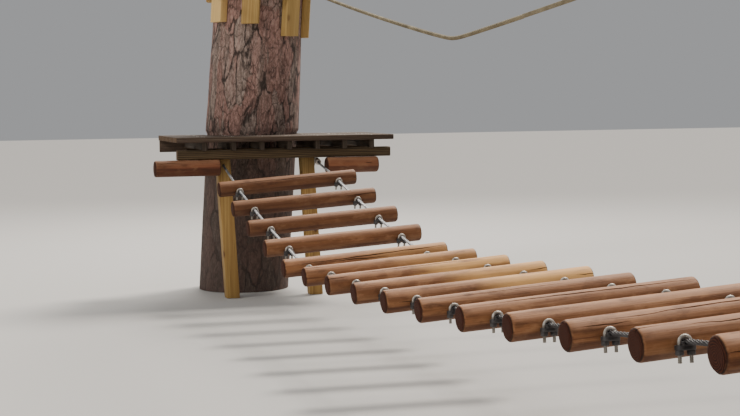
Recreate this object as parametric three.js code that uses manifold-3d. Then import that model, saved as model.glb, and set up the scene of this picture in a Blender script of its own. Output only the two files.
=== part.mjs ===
// Rope suspension footbridge: drilled log treads threaded on two steel foot ropes and
// clamped with rope grips, hung between two timber platforms built against upright poles.
// Millimetres, +Z up, ground at Z = 0, the walkway along X, its middle at X = 0.
// The walkway hangs a little askew, its left side (+Y) lower than its right.
import * as THREE from 'three';
import { mergeVertices } from 'three/addons/utils/BufferGeometryUtils.js';
import Module from 'manifold-3d';

// Fitting gap between pieces that touch
const gap = 0.3;

// Treads: turned round logs
const treadCount = 16;
const treadLength = 740;
const treadRadius = 40;
const treadChamfer = 10;
const treadPitch = 368.4;
const firstTreadX = 2746;
const treadTilt = 0.0683;
const logSides = 16;

// Line of the walkway: a low point, and a rise and a bow to each side of it
const walkway = { lowX: 1295, lowZ: 377.7, farRise: 0.1315, nearRise: 0.009 };
const walkwayBow = { far: 0.0329e-3, near: 0.0139e-3 };

// Foot ropes: steel wire rope through the treads, this far from the middle of each
const footRopeReach = 266;
const footRopeRadius = 6.5;
const ropeSides = 8;
const straightHalf = 75;
const boreRadius = 7.3;

// Rope grips: a U-bolt over the rope and a saddle under it, one behind each tread
const gripOffset = 52.5;
const gripRodRadius = 5;
const gripRodSides = 5;
const gripHalfWidth = 14;
const gripLegDrop = 44;
const gripArcSteps = 4;
const saddle = { along: 22, across: 42, top: -2, bottom: -19 };

// Platforms: a deck on battens, a rim beam on two leaning posts, log stubs under the rim,
// a ledger against a tall pole and a guide for the right foot rope
const deckTop = 880;
const deckThickness = 28;
const deckLeftY = 545;
const deckRightY = -660;
const deckFrontX = 2982;
const deckBackX = 3622;
const battenHeight = 41;
const battenWidth = 28;
const battenPitch = 155;
const battenCount = 7;
const firstBattenY = 387.5;
const battenInset = 30;
const rimDepth = 51;
const rimHeight = 52;
const rimCorner = 8;
const rimInset = 10;
const postSize = 72;
const postLean = 0.054;
const frontPostX = 3064;
const leftPostY = 280;
const rightPostY = -187;
const stubRadius = 44;
const leftStub = { fromY: 306, toY: 660 };
const rightStub = { fromY: -575, toY: -280 };
const ledgerDepth = 47;
const ledgerHeight = 40;
const ledgerLeftY = 450;
const ledgerRightY = -600;
const poleX = 3532;
const poleTop = 1990;
const poleTopRadius = 252;
const poleTaperZ = 1200;
const poleLean = -0.07;
const poleLevelZ = 1185;
const poleChamfer = 14;
const poleSides = 32;
const notchClearance = 12;

// Where the foot ropes pass the front posts, and the level at which they go on to the pole
const guideZ = 734.5;
const guideShift = 12;
const ropeRestZ = 756;
const guideLength = 44;
const guideHeight = 46;
const guideWall = 20;

// Slats that keep the hand ropes off the pole: each one's turn from the walkway, in degrees,
// and how high it begins
const slatTurns = [20.7, 65, 106, 150, 195, 240, 285, 330.2];
const slatBottoms = [1497, 1512, 1634, 1493, 1452, 1480, 1427, 1429];
const slatTop = 1890;
const slatWidth = 95;
const slatFaceRadius = 296;
const slatRootRadius = 225;

// Hand ropes: one pulled down in use, the other hanging in a shallow bow
const handRopeRadius = 9;
const handRopeZ = 1690;
const handRopeSteps = 26;
const pulledRope = { lowX: 1090, drop: 365, slack: 0.87, rounding: 80 };
const freeRopeDrop = 150;
const wrapSteps = 8;

// Worked out from the above
const turnSagitta = Math.cos(Math.PI / 4 / wrapSteps);
const footRopeY = footRopeReach * Math.cos(treadTilt);
const footRopeDip = footRopeReach * Math.sin(treadTilt);
const poleRadius = footRopeY * turnSagitta - footRopeRadius - gap;
const battenBottom = deckTop - deckThickness - battenHeight;
const postTop = battenBottom - gap;
const rimFront = frontPostX - gap - rimDepth;
const rimLeftY = deckLeftY - rimInset;
const rimRightY = deckRightY + rimInset;
const guideX = frontPostX + postSize / 2;
const stubFlat = stubRadius * Math.cos(Math.PI / logSides);
const stubX = frontPostX - gap - stubFlat;
const stubZ = postTop - rimHeight - gap - stubFlat;
const ledgerBack = poleX - poleRadius * Math.cos(Math.PI / poleSides) - gap;
const slatCorner = Math.hypot(slatFaceRadius, slatWidth / 2);
const handRopeReach = (slatCorner + handRopeRadius * Math.cos(Math.PI / ropeSides) + gap) / turnSagitta;

// Materials
const stainedLog = new THREE.MeshStandardMaterial({ color: 0xa8683f, roughness: 0.7, metalness: 0 });
const wireRope = new THREE.MeshStandardMaterial({ color: 0xa9a8a6, roughness: 0.45, metalness: 0.9 });
const greyDeck = new THREE.MeshStandardMaterial({ color: 0x6b5d50, roughness: 0.85, metalness: 0 });
const rimTimber = new THREE.MeshStandardMaterial({ color: 0x866a4b, roughness: 0.8, metalness: 0 });
const postTimber = new THREE.MeshStandardMaterial({ color: 0xc29a55, roughness: 0.75, metalness: 0 });
const poleTimber = new THREE.MeshStandardMaterial({ color: 0x8a6d58, roughness: 0.85, metalness: 0 });
const handRopeFibre = new THREE.MeshStandardMaterial({ color: 0xb7aa94, roughness: 0.9, metalness: 0 });

// Solid joins and cuts
const wasm = await Module();
wasm.setup();

function toSolid(geometry) {
  const bare = geometry.clone();
  bare.deleteAttribute('normal');
  bare.deleteAttribute('uv');
  const merged = mergeVertices(bare, 1e-3);
  const vertProperties = new Float32Array(merged.attributes.position.array);
  const triVerts = new Uint32Array(merged.index.array);
  return new wasm.Manifold(new wasm.Mesh({ numProp: 3, vertProperties, triVerts }));
}

function toGeometry(solid) {
  const mesh = solid.getMesh();
  const geometry = new THREE.BufferGeometry();
  geometry.setAttribute('position', new THREE.BufferAttribute(new Float32Array(mesh.vertProperties), 3));
  geometry.setIndex(new THREE.BufferAttribute(new Uint32Array(mesh.triVerts), 1));
  geometry.computeVertexNormals();
  return geometry;
}

// A route that passes exactly through its points, one step of an extrusion for each
class Route extends THREE.Curve {
  constructor(points) {
    super();
    this.points = points;
  }

  getPoint(t, target = new THREE.Vector3()) {
    const place = t * (this.points.length - 1);
    const index = Math.min(Math.floor(place + 1e-9), this.points.length - 2);
    return target.lerpVectors(this.points[index], this.points[index + 1], place - index);
  }

  getPointAt(u, target) {
    return this.getPoint(u, target);
  }

  getTangentAt(u, target = new THREE.Vector3()) {
    const index = Math.round(u * (this.points.length - 1));
    const before = this.points[Math.max(index - 1, 0)];
    const after = this.points[Math.min(index + 1, this.points.length - 1)];
    const here = this.points[index];
    target.set(0, 0, 0);
    if (index > 0) target.add(here.clone().sub(before).normalize());
    if (index < this.points.length - 1) target.add(after.clone().sub(here).normalize());
    return target.normalize();
  }
}

function roundSection(radius, sides) {
  const points = [];
  for (let i = 0; i < sides; i += 1) {
    const angle = (2 * Math.PI * (i + 0.5)) / sides;
    points.push(new THREE.Vector2(radius * Math.cos(angle), radius * Math.sin(angle)));
  }
  return new THREE.Shape(points);
}

function tubeAlong(points, radius, sides) {
  const steps = points.length - 1;
  return new THREE.ExtrudeGeometry(roundSection(radius, sides), { steps, extrudePath: new Route(points) });
}

// A log along Y between two ends, with its arrises taken off
function logBetween(y0, y1, radius, chamfer, sides) {
  const profile = [
    new THREE.Vector2(0, y0),
    new THREE.Vector2(radius - chamfer, y0),
    new THREE.Vector2(radius, y0 + chamfer),
    new THREE.Vector2(radius, y1 - chamfer),
    new THREE.Vector2(radius - chamfer, y1),
    new THREE.Vector2(0, y1),
  ];
  return new THREE.LatheGeometry(profile, sides, Math.PI / sides);
}

// A round cutter along X, tipped up by a slope, centred on a point
function boreCutter(radius, length, x, y, z, slope) {
  const cutter = new THREE.CylinderGeometry(radius, radius, length, ropeSides, 1);
  cutter.rotateZ(-Math.PI / 2);
  cutter.rotateX(Math.PI / ropeSides);
  cutter.rotateY(-Math.atan(slope));
  cutter.translate(x, y, z);
  return cutter;
}

// The pole leans: where its centre line is at any height
function poleY(z) {
  return poleLean * (z - poleLevelZ);
}

// A quarter turn round a pole, from the middle of its back to its side, at one height
function quarterTurn(radius, side, z, straightEnd) {
  const middle = poleY(z);
  const points = [new THREE.Vector3(poleX + radius, middle + side * gap, z)];
  points.push(new THREE.Vector3(poleX + radius, middle + side * straightEnd, z));
  for (let i = 1; i < wrapSteps; i += 1) {
    const angle = ((Math.PI / 2) * i) / wrapSteps;
    const y = middle + side * radius * Math.sin(angle);
    points.push(new THREE.Vector3(poleX + radius * Math.cos(angle), y, z));
  }
  return points;
}

function atNearEnd(points) {
  return points.map((point) => new THREE.Vector3(-point.x, point.y, point.z)).reverse();
}

function boxBetween(x0, x1, y0, y1, z0, z1) {
  const box = new THREE.BoxGeometry(x1 - x0, y1 - y0, z1 - z0);
  box.translate((x0 + x1) / 2, (y0 + y1) / 2, (z0 + z1) / 2);
  return box;
}

// Height of the walkway's centre line over any place along it
function walkwayZ(x) {
  const run = x - walkway.lowX;
  if (run > 0) return walkway.lowZ + walkway.farRise * run + walkwayBow.far * run * run;
  return walkway.lowZ - walkway.nearRise * run + walkwayBow.near * run * run;
}

// Tread centres, stepped off along the rope from the far end
const treads = [];
let treadX = firstTreadX;
for (let i = 0; i < treadCount; i += 1) {
  treads.push(new THREE.Vector3(treadX, 0, walkwayZ(treadX)));
  const slope = (walkwayZ(treadX) - walkwayZ(treadX - treadPitch)) / treadPitch;
  treadX -= treadPitch / Math.hypot(1, slope);
}

// Each foot rope lies straight through a tread, along the line to its neighbours, and moves
// over a little on its way to the front post
function footLine(side) {
  const y = side * footRopeY;
  const guideY = y + guideShift;
  const middles = treads.map((tread) => new THREE.Vector3(tread.x, y, tread.z - side * footRopeDip));
  const last = middles[treadCount - 1];
  const farGuide = new THREE.Vector3(guideX, y, guideZ);
  const nearGuide = new THREE.Vector3(-guideX, y, guideZ);
  const stations = [farGuide, ...middles, nearGuide];
  const directions = middles.map((_, i) => stations[i].clone().sub(stations[i + 2]).normalize());
  const farSlope = (guideZ - middles[0].z) / (guideX - middles[0].x);
  const nearSlope = (guideZ - last.z) / (guideX + last.x);
  return { side, y, guideY, middles, directions, farSlope, nearSlope };
}

const leftLine = footLine(1);
const rightLine = footLine(-1);

const group = new THREE.Group();

function addPiece(name, geometry, material) {
  const mesh = new THREE.Mesh(geometry, material);
  mesh.name = name;
  group.add(mesh);
}

// Treads
treads.forEach((centre, i) => {
  const log = logBetween(-treadLength / 2, treadLength / 2, treadRadius, treadChamfer, logSides);
  log.rotateX(-treadTilt);
  let solid = toSolid(log);
  for (const line of [leftLine, rightLine]) {
    const slope = line.directions[i].z / line.directions[i].x;
    const cutter = boreCutter(boreRadius, treadRadius * 3, 0, line.y, -line.side * footRopeDip, slope);
    solid = solid.subtract(toSolid(cutter));
  }
  const geometry = toGeometry(solid);
  geometry.translate(centre.x, 0, centre.z);
  addPiece(`tread_${String(i + 1).padStart(2, '0')}`, geometry, stainedLog);
});

// One rope grip, with the rope along X through its origin
function gripSolid() {
  const arcCentre = footRopeRadius + gripRodRadius + gap - gripHalfWidth;
  const points = [new THREE.Vector3(0, gripHalfWidth, -gripLegDrop)];
  for (let i = 0; i <= gripArcSteps; i += 1) {
    const angle = (Math.PI * i) / gripArcSteps;
    const y = gripHalfWidth * Math.cos(angle);
    const z = arcCentre + gripHalfWidth * Math.sin(angle);
    points.push(new THREE.Vector3(0, y, z));
  }
  points.push(new THREE.Vector3(0, -gripHalfWidth, -gripLegDrop));
  const bolt = toSolid(tubeAlong(points, gripRodRadius, gripRodSides));
  const halfAlong = saddle.along / 2;
  const halfAcross = saddle.across / 2;
  const block = boxBetween(-halfAlong, halfAlong, -halfAcross, halfAcross, saddle.bottom, saddle.top);
  return bolt.add(toSolid(block));
}

// One end of a foot rope: round the back of the pole, level to the front post, then down
// along the slope that takes it to the first tread
function footRopeEnd(line, slope) {
  const route = quarterTurn(footRopeY, line.side, ropeRestZ, footRopeRadius);
  const bendX = guideX + (ropeRestZ - guideZ) / slope;
  route.push(new THREE.Vector3(poleX, poleY(ropeRestZ) + line.y, ropeRestZ));
  route.push(new THREE.Vector3(bendX, line.guideY, ropeRestZ));
  route.push(new THREE.Vector3(guideX - straightHalf, line.guideY, guideZ - slope * straightHalf));
  return route;
}

// Foot ropes: through the posts, the guides and every tread, with the grips clamped on
for (const [name, line] of [['foot_rope_left', leftLine], ['foot_rope_right', rightLine]]) {
  const route = footRopeEnd(line, line.farSlope);
  line.middles.forEach((middle, i) => {
    route.push(middle.clone().addScaledVector(line.directions[i], straightHalf));
    route.push(middle.clone().addScaledVector(line.directions[i], -straightHalf));
  });
  route.push(...atNearEnd(footRopeEnd(line, line.nearSlope)));
  let solid = toSolid(tubeAlong(route, footRopeRadius, ropeSides));
  line.middles.forEach((middle, i) => {
    const direction = line.directions[i];
    const place = middle.clone().addScaledVector(direction, -gripOffset);
    const grip = toGeometry(gripSolid());
    grip.rotateY(-Math.atan(direction.z / direction.x));
    grip.translate(place.x, place.y, place.z);
    solid = solid.add(toSolid(grip));
  });
  addPiece(name, toGeometry(solid), wireRope);
}

// Hand ropes: how far each hangs below its ends
function pulledDrop(x) {
  const reach = x > pulledRope.lowX ? poleX - pulledRope.lowX : poleX + pulledRope.lowX;
  const slack = pulledRope.slack;
  const soften = (run) => Math.hypot(run, pulledRope.rounding) - pulledRope.rounding;
  const run = Math.abs(x - pulledRope.lowX);
  const straight = soften(run) / soften(reach);
  const bowed = (run / reach) ** 2;
  return pulledRope.drop * (1 - slack * straight - (1 - slack) * bowed);
}

function freeDrop(x) {
  return freeRopeDrop * (1 - (x / poleX) ** 2);
}

for (const [name, side, drop] of [['hand_rope_left', 1, freeDrop], ['hand_rope_right', -1, pulledDrop]]) {
  const turn = quarterTurn(handRopeReach, side, handRopeZ, handRopeRadius);
  const route = [...turn];
  const y = poleY(handRopeZ) + side * handRopeReach;
  for (let i = 0; i <= handRopeSteps; i += 1) {
    const x = poleX - (2 * poleX * i) / handRopeSteps;
    route.push(new THREE.Vector3(x, y, handRopeZ - drop(x)));
  }
  route.push(...atNearEnd(turn));
  addPiece(name, tubeAlong(route, handRopeRadius, ropeSides), handRopeFibre);
}

// Deck: boards on battens, notched round the pole
function deckSolid() {
  const underside = deckTop - deckThickness;
  let solid = toSolid(boxBetween(deckFrontX, deckBackX, deckRightY, deckLeftY, underside, deckTop));
  for (let i = 0; i < battenCount; i += 1) {
    const y = firstBattenY - battenPitch * i;
    const half = battenWidth / 2;
    const front = deckFrontX + battenInset;
    const batten = boxBetween(front, deckBackX, y - half, y + half, battenBottom, underside + 1);
    solid = solid.add(toSolid(batten));
  }
  const notchRadius = poleRadius + notchClearance;
  const notch = new THREE.CylinderGeometry(notchRadius, notchRadius, deckTop, poleSides, 1);
  notch.rotateX(Math.PI / 2);
  notch.translate(poleX, poleY(underside), deckTop);
  return solid.subtract(toSolid(notch));
}

// Whatever leans is slid sideways, the further the more it is over or under one level
function leaned(geometry, lean, levelZ) {
  const shear = new THREE.Matrix4().makeShear(0, 0, 0, 0, 0, lean);
  return geometry.applyMatrix4(shear).translate(0, -lean * levelZ, 0);
}

// Pole: round timber with a ring of slats let into it
function poleSolid() {
  const profile = [
    new THREE.Vector2(0, 0),
    new THREE.Vector2(poleRadius, 0),
    new THREE.Vector2(poleRadius, poleTaperZ),
    new THREE.Vector2(poleTopRadius, poleTop - poleChamfer),
    new THREE.Vector2(poleTopRadius - poleChamfer, poleTop),
    new THREE.Vector2(0, poleTop),
  ];
  const shaft = new THREE.LatheGeometry(profile, poleSides, Math.PI / poleSides);
  shaft.rotateX(Math.PI / 2);
  let solid = toSolid(leaned(shaft, poleLean, poleLevelZ));
  const half = slatWidth / 2;
  slatBottoms.forEach((bottom, i) => {
    const slat = boxBetween(slatRootRadius, slatFaceRadius, -half, half, bottom, slatTop);
    slat.rotateZ(Math.PI - THREE.MathUtils.degToRad(slatTurns[i]));
    solid = solid.add(toSolid(leaned(slat, poleLean, poleLevelZ)));
  });
  return solid;
}

function roundedBeam(x0, x1, y0, y1, z0, z1, corner) {
  const outline = new THREE.Shape();
  outline.moveTo(x0 + corner, z0);
  outline.lineTo(x1, z0);
  outline.lineTo(x1, z1);
  outline.lineTo(x0 + corner, z1);
  outline.lineTo(x0, z1 - corner);
  outline.lineTo(x0, z0 + corner);
  const beam = new THREE.ExtrudeGeometry(outline, { depth: y1 - y0, bevelEnabled: false });
  beam.rotateX(Math.PI / 2);
  beam.translate(0, y1, 0);
  return beam;
}

function frontPost(y) {
  const half = postSize / 2;
  const post = boxBetween(frontPostX, frontPostX + postSize, y - half, y + half, 0, postTop);
  return toSolid(leaned(post, postLean, postTop));
}

// A block on the right post's outer face, for the foot rope that misses that post
function ropeGuide() {
  const inner = rightPostY - postSize / 2 - gap;
  const outer = rightLine.guideY - guideWall - postLean * (guideZ - postTop);
  const front = guideX - guideLength / 2;
  const low = guideZ - guideHeight / 2;
  const block = boxBetween(front, front + guideLength, outer, inner, low, low + guideHeight);
  return toSolid(leaned(block, postLean, postTop));
}

function drilled(solid, line, slope) {
  return solid.subtract(toSolid(boreCutter(boreRadius, postSize * 2, guideX, line.guideY, guideZ, slope)));
}

// Each platform is built facing the walkway at the far end, then turned over for the near one
function addPlatform(prefix, mirrorX, leftSlope, rightSlope) {
  const addHere = (name, solid, material) => {
    const placed = mirrorX ? solid.mirror([1, 0, 0]) : solid;
    addPiece(`${prefix}_${name}`, toGeometry(placed), material);
  };
  const rimLow = postTop - rimHeight;
  const rim = roundedBeam(rimFront, rimFront + rimDepth, rimRightY, rimLeftY, rimLow, postTop, rimCorner);
  const ledgerFront = ledgerBack - ledgerDepth;
  const ledgerLow = postTop - ledgerHeight;
  const ledger = boxBetween(ledgerFront, ledgerBack, ledgerRightY, ledgerLeftY, ledgerLow, postTop);

  addHere('deck', deckSolid(), greyDeck);
  addHere('rim_beam', toSolid(rim), rimTimber);
  addHere('ledger', toSolid(ledger), rimTimber);
  addHere('front_post_left', drilled(frontPost(leftPostY), leftLine, leftSlope), postTimber);
  addHere('front_post_right', frontPost(rightPostY), postTimber);
  addHere('rope_guide', drilled(ropeGuide(), rightLine, rightSlope), wireRope);
  for (const [word, reach] of [['left', leftStub], ['right', rightStub]]) {
    const stub = toSolid(logBetween(reach.fromY, reach.toY, stubRadius, treadChamfer, logSides));
    addHere(`stub_${word}`, stub.translate([stubX, 0, stubZ]), stainedLog);
  }
  addHere('pole', poleSolid().translate([poleX, 0, 0]), poleTimber);
}

addPlatform('far', false, leftLine.farSlope, rightLine.farSlope);
addPlatform('near', true, leftLine.nearSlope, rightLine.nearSlope);

export default group;
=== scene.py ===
import math
import random

import bpy
from mathutils import Matrix, Vector, noise


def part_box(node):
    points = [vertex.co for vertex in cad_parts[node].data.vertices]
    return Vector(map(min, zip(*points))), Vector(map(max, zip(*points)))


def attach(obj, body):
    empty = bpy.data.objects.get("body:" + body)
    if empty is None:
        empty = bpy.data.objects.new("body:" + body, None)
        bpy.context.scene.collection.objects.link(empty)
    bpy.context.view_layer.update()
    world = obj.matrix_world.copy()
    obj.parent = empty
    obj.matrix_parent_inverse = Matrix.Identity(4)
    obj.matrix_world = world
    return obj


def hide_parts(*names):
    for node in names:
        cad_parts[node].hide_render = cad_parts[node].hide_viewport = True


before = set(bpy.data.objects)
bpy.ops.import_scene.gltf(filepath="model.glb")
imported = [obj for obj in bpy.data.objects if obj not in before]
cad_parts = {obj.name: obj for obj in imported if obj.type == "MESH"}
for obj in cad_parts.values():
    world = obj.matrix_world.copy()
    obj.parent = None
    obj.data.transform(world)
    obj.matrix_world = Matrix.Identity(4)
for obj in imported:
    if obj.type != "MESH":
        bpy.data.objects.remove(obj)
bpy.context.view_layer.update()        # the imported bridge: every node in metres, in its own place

fullTurn = 2 * math.pi
alongX = (0, math.pi / 2, 0)        # turns that lay a primitive's own Z along another axis
alongY = (math.pi / 2, 0, 0)
alongZ = (0, 0, 0)
fitGap = 0.0005                     # left between pieces that would touch


# Picking and editing

# Makes a piece the active one, selected with the others and nothing else
def takeUp(piece, *others):
    bpy.ops.object.select_all(action='DESELECT')
    for one in (*others, piece):
        one.select_set(True)
    bpy.context.view_layer.objects.active = piece


# Selects the wanted corners, edges or faces and runs one operator on them
def edit(piece, kind, wanted, operator, **settings):
    takeUp(piece)
    bpy.ops.object.mode_set(mode='EDIT')
    bpy.ops.mesh.select_mode(type=kind)
    bpy.ops.mesh.select_all(action='DESELECT')
    bpy.ops.object.mode_set(mode='OBJECT')
    mesh = piece.data
    for part in {'VERT': mesh.vertices, 'EDGE': mesh.edges, 'FACE': mesh.polygons}[kind]:
        part.select = wanted(part)
    bpy.ops.object.mode_set(mode='EDIT')
    operator(**settings)
    bpy.ops.object.mode_set(mode='OBJECT')


def editAll(piece, operator, **settings):
    takeUp(piece)
    bpy.ops.object.mode_set(mode='EDIT')
    bpy.ops.mesh.select_all(action='SELECT')
    operator(**settings)
    bpy.ops.object.mode_set(mode='OBJECT')


def insetSteps(steps):
    for step in steps:
        bpy.ops.mesh.inset(thickness=step)


def faceOutward(piece):
    editAll(piece, bpy.ops.mesh.normals_make_consistent, inside=False)


def edgeEnds(piece, edge):
    return [piece.data.vertices[i].co for i in edge.vertices]


def runsAlong(piece, axis):
    def test(edge):
        a, b = edgeEnds(piece, edge)
        step = b - a
        return abs(step[axis]) > 0.9 * step.length
    return test


def applyPlace(piece):
    takeUp(piece)
    bpy.ops.object.transform_apply(location=True, rotation=True, scale=True)


def useModifier(piece, kind, **settings):
    takeUp(piece)
    added = piece.modifiers.new(kind.lower(), kind)
    for key, value in settings.items():
        setattr(added, key, value)
    bpy.ops.object.modifier_apply(modifier=added.name)


def bevelEdges(piece, width, segments=2, **limit):
    useModifier(piece, 'BEVEL', width=width, segments=segments, limit_method='ANGLE', **limit)


def cutAway(piece, *cutters):
    for cutter in cutters:
        useModifier(piece, 'BOOLEAN', operation='DIFFERENCE', solver='EXACT', object=cutter)
        bpy.data.objects.remove(cutter)


def copyOf(piece, name):
    twin = piece.copy()
    twin.data = piece.data.copy()
    twin.name = name
    bpy.context.scene.collection.objects.link(twin)
    return twin


def joinUp(name, pieces):
    takeUp(pieces[0], *pieces[1:])
    bpy.ops.object.join()
    joined = bpy.context.active_object
    joined.name = name
    return joined


def smooth(piece, degrees=35):
    takeUp(piece)
    bpy.ops.object.shade_smooth_by_angle(angle=math.radians(degrees))


def newest(name):
    piece = bpy.context.active_object
    piece.name = name
    piece.data.name = name
    return piece


def add(name, operator, **settings):
    bpy.ops.object.select_all(action='DESELECT')
    operator(**settings)
    return newest(name)


def block(name, low, high):
    piece = add(name, bpy.ops.mesh.primitive_cube_add, size=1,
                location=[(a + b) / 2 for a, b in zip(low, high)])
    piece.scale = [b - a for a, b in zip(low, high)]
    applyPlace(piece)
    return piece


def plank(name, low, high, arris, segments=2):
    piece = block(name, low, high)
    bevelEdges(piece, arris, segments)
    return piece


def roundBar(name, radius, length, centre=(0, 0, 0), turned=alongZ, sides=24):
    piece = add(name, bpy.ops.mesh.primitive_cylinder_add, vertices=sides, radius=radius, depth=length,
                location=centre, rotation=turned)
    applyPlace(piece)
    return piece


# Curves start as a poly line with room for its points
def newCurve(name, dimensions, count):
    shape = bpy.data.curves.new(name, 'CURVE')
    shape.dimensions = dimensions
    line = shape.splines.new('POLY')
    line.points.add(count - 1)
    curve = bpy.data.objects.new(name, shape)
    bpy.context.scene.collection.objects.link(curve)
    return curve, shape, line


def finishPiece(piece, material, node):
    piece.data.materials.clear()
    piece.data.materials.append(material)
    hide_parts(node)
    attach(piece, "root")


# Numbers stored on a mesh for its material to read

def fraction(amount):
    return min(1, max(0, amount))


def storeNumbers(piece, name, value):
    amounts = [value(v.co) if callable(value) else value for v in piece.data.vertices]
    piece.data.attributes.new(name, 'FLOAT', 'POINT').data.foreach_set("value", amounts)


# The second number of grainPlace always runs along the fibres
def storeGrain(piece, seed, along=1, centre=(0, 0, 0), **marks):
    order = {0: (1, 0, 2), 1: (0, 1, 2), 2: (0, 2, 1)}[along]
    middle = Vector(centre)
    values = []
    for vertex in piece.data.vertices:
        place = vertex.co - middle
        values.extend(place[i] for i in order)
    piece.data.attributes.new("grainPlace", 'FLOAT_VECTOR', 'POINT').data.foreach_set("vector", values)
    for name, value in {"grainSeed": seed, **marks}.items():
        storeNumbers(piece, name, value)


# Shader sums

class Wire:
    def __init__(self, tree, socket):
        self.tree = tree
        self.socket = socket

    def node(self, kind, settings=None, sockets=None, out=0):
        made = self.tree.nodes.new(kind)
        for key, value in (settings or {}).items():
            if key == "stops":
                ramp = made.color_ramp
                ramp.elements[0].position, ramp.elements[1].position = value[0][0], value[-1][0]
                for place, _ in value[1:-1]:
                    ramp.elements.new(place)
                for element, (_, colour) in zip(ramp.elements, value):
                    element.color = (*colour, 1)
            else:
                setattr(made, key, value)
        for key, value in (sockets or {}).items():
            if isinstance(value, Wire):
                self.tree.links.new(value.socket, made.inputs[key])
            else:
                made.inputs[key].default_value = value
        return Wire(self.tree, made.outputs[out])

    def sum(self, operation, *values):
        return self.node('ShaderNodeMath', {"operation": operation}, dict(enumerate(values)))

    def __add__(self, other): return self.sum('ADD', self, other)
    def __radd__(self, other): return self.sum('ADD', other, self)
    def __sub__(self, other): return self.sum('SUBTRACT', self, other)
    def __rsub__(self, other): return self.sum('SUBTRACT', other, self)
    def __mul__(self, other): return self.sum('MULTIPLY', self, other)
    def __rmul__(self, other): return self.sum('MULTIPLY', other, self)
    def __pow__(self, other): return self.sum('POWER', self, other)
    def __rpow__(self, other): return self.sum('POWER', other, self)

    def size(self):
        return self.sum('ABSOLUTE', self)

    def wave(self):
        return self.sum('SINE', self) * 0.5 + 0.5

    def limit(self):
        return self.node('ShaderNodeClamp', {}, {0: self})

    def span(self, low, high, start=0.0, end=1.0):
        settings = {"interpolation_type": 'SMOOTHSTEP'}
        return self.node('ShaderNodeMapRange', settings, {0: self, 1: low, 2: high, 3: start, 4: end})

    def parts(self):
        cut = self.tree.nodes.new('ShaderNodeSeparateXYZ')
        self.tree.links.new(self.socket, cut.inputs[0])
        return [Wire(self.tree, cut.outputs[i]) for i in range(3)]

    def vectorWith(self, other, across, along, seed):
        return self.node('ShaderNodeCombineXYZ', {}, {0: self * across + seed * 1.7, 1: other * along + seed})

    def stretched(self, x, y, z):
        return self.node('ShaderNodeVectorMath', {"operation": 'MULTIPLY'}, {0: self, 1: (x, y, z)})

    def shifted(self, other, amount):
        moved = other.node('ShaderNodeVectorMath', {"operation": 'SCALE'}, {0: other, 3: amount})
        return self.node('ShaderNodeVectorMath', {"operation": 'ADD'}, {0: self, 1: moved})

    def noise(self, detail=3.0, roughness=0.55, w=None, scale=1.0, out=0):
        settings = {"noise_dimensions": '4D' if w is not None else '3D'}
        sockets = {"Vector": self, "Scale": scale, "Detail": detail, "Roughness": roughness}
        if w is not None:
            sockets["W"] = w
        return self.node('ShaderNodeTexNoise', settings, sockets, out)

    def cells(self, feature, w, out=0):
        settings = {"voronoi_dimensions": '4D', "feature": feature}
        return self.node('ShaderNodeTexVoronoi', settings, {"Vector": self, "W": w, "Scale": 1.0}, out)

    def ramp(self, *stops):
        return self.node('ShaderNodeValToRGB', {"stops": stops}, {0: self})

    def towards(self, colour, amount, mode='MIX'):
        settings = {"data_type": 'RGBA', "blend_type": mode, "clamp_factor": True}
        other = colour if isinstance(colour, Wire) else (*colour, 1)
        return self.node('ShaderNodeMix', settings, {0: amount, 6: self, 7: other}, out=2)


def newMaterial(name, metallic=0.0):
    material = bpy.data.materials.new(name)
    material.use_nodes = True
    tree = material.node_tree
    shader = tree.nodes["Principled BSDF"]
    shader.inputs["Metallic"].default_value = metallic
    return material, shader, Wire(tree, None)


def dress(shader, colour, roughness, height=None, depth=0.001):
    tree = colour.tree
    tree.links.new(colour.socket, shader.inputs["Base Color"])
    if isinstance(roughness, Wire):
        tree.links.new(roughness.socket, shader.inputs["Roughness"])
    else:
        shader.inputs["Roughness"].default_value = roughness
    if height is not None:
        bump = height.node('ShaderNodeBump', {}, {"Height": height, "Distance": depth, "Strength": 1.0})
        tree.links.new(bump.socket, shader.inputs["Normal"])


def attribute(start, name, out=2):
    return start.node('ShaderNodeAttribute', {"attribute_name": name}, {}, out=out)


def facing(start):
    return start.node('ShaderNodeNewGeometry', {}, {}, out=1).parts()


# Wood: fibres, streaks, rings round a pith, dark knots with halos and weather on top; the slats' look adds
# painted sunlight, the posts' look painted shade
woodSpans = {
    "patch": (0.50, 0.72),
    "faceUp": (0.15, 0.95), "weather": (0.35, 0.72),
    "platformShade": (0.56, 0.78),            # along the grain, where painted shade falls on the posts
    "knot": (0.095, 0.045), "halo": (0.20, 0.08),
    "endTone": (0.20, 0.80),
}
streakShare, fineShare, shadeUnderPlatformShare = 0.55, 0.30, 0.55
knotSpacing = (5.2, 3.1)                # knots for each metre across and along
woodSpecular = 0.28


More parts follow.
